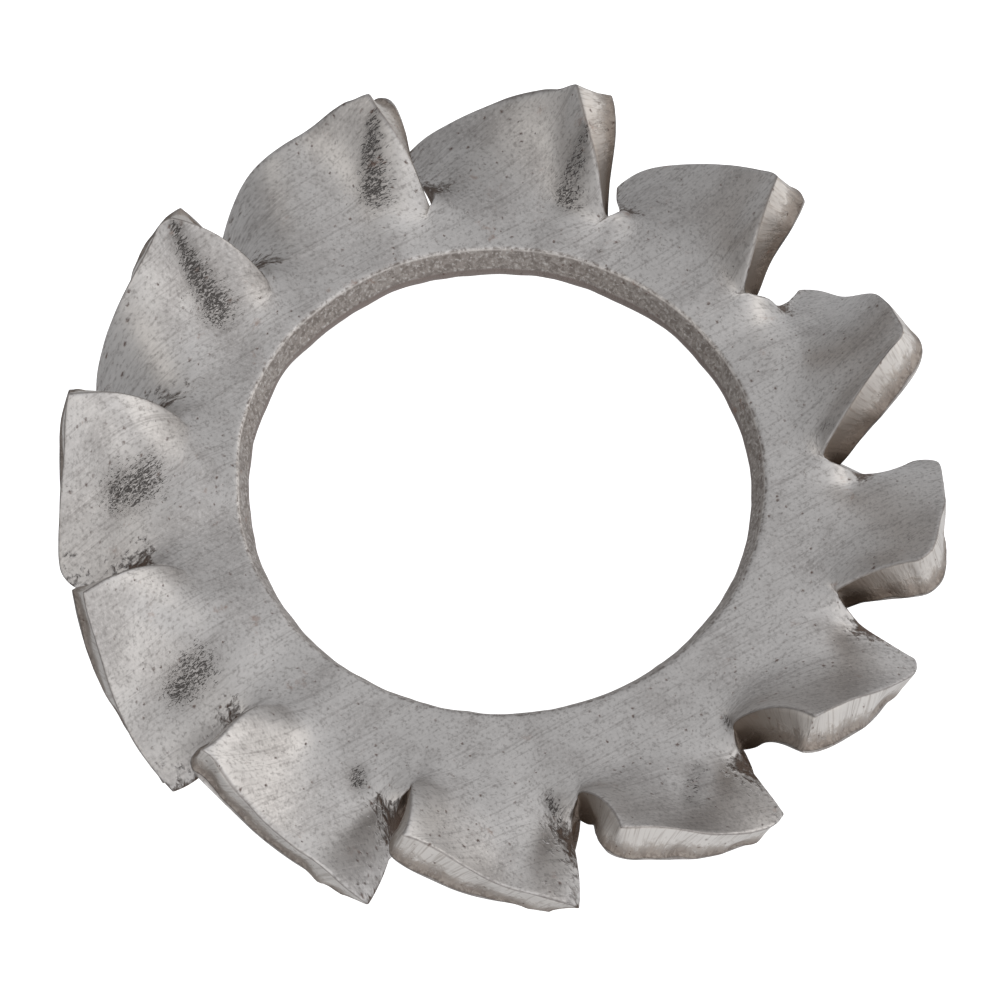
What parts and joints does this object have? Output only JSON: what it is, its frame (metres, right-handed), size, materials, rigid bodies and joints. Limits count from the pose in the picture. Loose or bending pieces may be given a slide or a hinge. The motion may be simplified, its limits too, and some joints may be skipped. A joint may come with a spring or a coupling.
{
  "type": "toothed lock washer",
  "caption": "Flat spring-steel lock washer with twisted external teeth that bite under a screw head or nut.",
  "frame": {"origin": "axis of the screw hole, in the middle of the sheet's thickness", "axes": "+Z along the hole towards the side on which it flares, X and Y in the plane of the sheet, with the tooth circle's centre displaced along -Y"},
  "size_m": [0.0111, 0.011, 0.0034],
  "materials": {
    "spring_steel": "dull rolled steel with fine lines, small pits and bright worn edges"
  },
  "bodies": {
    "root": {"lock_washer": "spring_steel"}
  },
  "joints": []
}
